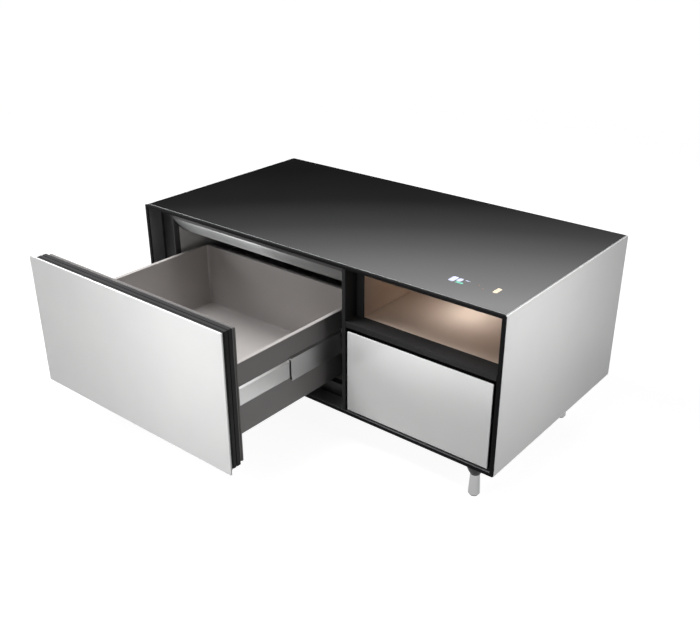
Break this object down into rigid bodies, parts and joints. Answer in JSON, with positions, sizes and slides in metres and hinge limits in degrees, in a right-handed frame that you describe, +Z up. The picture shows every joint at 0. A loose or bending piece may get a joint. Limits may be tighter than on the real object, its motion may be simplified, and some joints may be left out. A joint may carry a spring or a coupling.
{
  "type": "refrigerator coffee table",
  "caption": "Low glass-topped table with a pull-out refrigerated drawer, a lit open niche over a shallow dry drawer, a rear cooling compartment and short chrome legs.",
  "frame": {"origin": "on the floor, under the middle of the bounding box, with the cold drawer drawn out as stored", "axes": "+Z up, +X to the right of someone who faces the drawers, -Y towards that person"},
  "size_m": [1.1, 0.9496, 0.465],
  "materials": {
    "black_glass": "gloss",
    "white_glass": "gloss",
    "black_aluminium": "satin",
    "black_steel": "matte",
    "black_board": "matte",
    "zinc_steel": "satin",
    "brushed_steel": "satin",
    "grey_plastic": "satin",
    "liner_plastic": "satin",
    "foam": "matte",
    "gasket_rubber": "matte",
    "beige_laminate": "satin",
    "chrome": "polished",
    "black_plastic": "satin",
    "warm_diffuser": "satin",
    "copper": "satin",
    "aluminium": "satin",
    "circuit_board": "satin"
  },
  "bodies": {
    "cabinet": {"top_glass": "black_glass", "side_glass_left": "white_glass", "side_glass_right": "white_glass", "front_frame": "black_aluminium", "base_tray": "black_steel", "wall_left": "black_board", "wall_right": "black_board", "top_deck": "black_board", "partition": "black_board", "bulkhead": "black_board", "rear_panel": "black_steel", "touch_board": "circuit_board", "foam_body": "foam", "cabinet_liner": "liner_plastic", "ceiling_cover": "brushed_steel", "evaporator": "aluminium", "niche_bezel": "black_aluminium", "niche_liner": "beige_laminate", "led_lamp": "warm_diffuser", "compressor": "black_steel", "condenser": "aluminium", "fan_shroud": "black_plastic", "suction_pipe": "copper", "discharge_pipe": "copper", "power_module": "black_plastic", "power_inlet": "black_plastic", "cold_rail_left": "zinc_steel", "cold_rail_right": "zinc_steel", "dry_rail_left": "zinc_steel", "dry_rail_right": "zinc_steel", "collar_front_left": "black_plastic", "leg_front_left": "chrome", "pad_front_left": "black_plastic", "collar_front_right": "black_plastic", "leg_front_right": "chrome", "pad_front_right": "black_plastic", "collar_rear_left": "black_plastic", "leg_rear_left": "chrome", "pad_rear_left": "black_plastic", "collar_rear_right": "black_plastic", "leg_rear_right": "chrome", "pad_rear_right": "black_plastic"},
    "cold_drawer": {"cold_front_glass": "white_glass", "cold_front_frame": "black_aluminium", "cold_front_pan": "grey_plastic", "cold_gasket": "gasket_rubber", "cold_bin": "grey_plastic", "cold_runner_left": "zinc_steel", "cold_runner_right": "zinc_steel"},
    "cold_middle": {"cold_middle_left": "zinc_steel", "cold_middle_right": "zinc_steel"},
    "dry_drawer": {"dry_front_glass": "white_glass", "dry_front_frame": "black_aluminium", "dry_front_pan": "grey_plastic", "dry_box": "black_plastic", "dry_runner_left": "zinc_steel", "dry_runner_right": "zinc_steel"},
    "dry_middle": {"dry_middle_left": "zinc_steel", "dry_middle_right": "zinc_steel"},
    "fan_rotor": {"fan_rotor": "black_plastic"}
  },
  "joints": [
    {"name": "cold_drawer_slide", "type": "slide", "parent": "cabinet", "child": "cold_drawer", "axis": [0, -1, 0], "range_m": [-0.3645, 0.085]},
    {"name": "cold_middle_slide", "type": "slide", "parent": "cabinet", "child": "cold_middle", "axis": [0, -1, 0], "range_m": [-0.18225, 0.0425]},
    {"name": "dry_drawer_slide", "type": "slide", "parent": "cabinet", "child": "dry_drawer", "axis": [0, -1, 0], "range_m": [0, 0.22]},
    {"name": "dry_middle_slide", "type": "slide", "parent": "cabinet", "child": "dry_middle", "axis": [0, -1, 0], "range_m": [0, 0.11]},
    {"name": "fan_spin", "type": "hinge", "parent": "cabinet", "child": "fan_rotor", "pos_m": [0.4445, 0.3784, 0.1673], "axis": [0, 1, 0], "continuous": true}
  ],
  "couplings": [
    {"joint": "cold_middle_slide", "follows": "cold_drawer_slide", "ratio": 0.5},
    {"joint": "dry_middle_slide", "follows": "dry_drawer_slide", "ratio": 0.5}
  ]
}
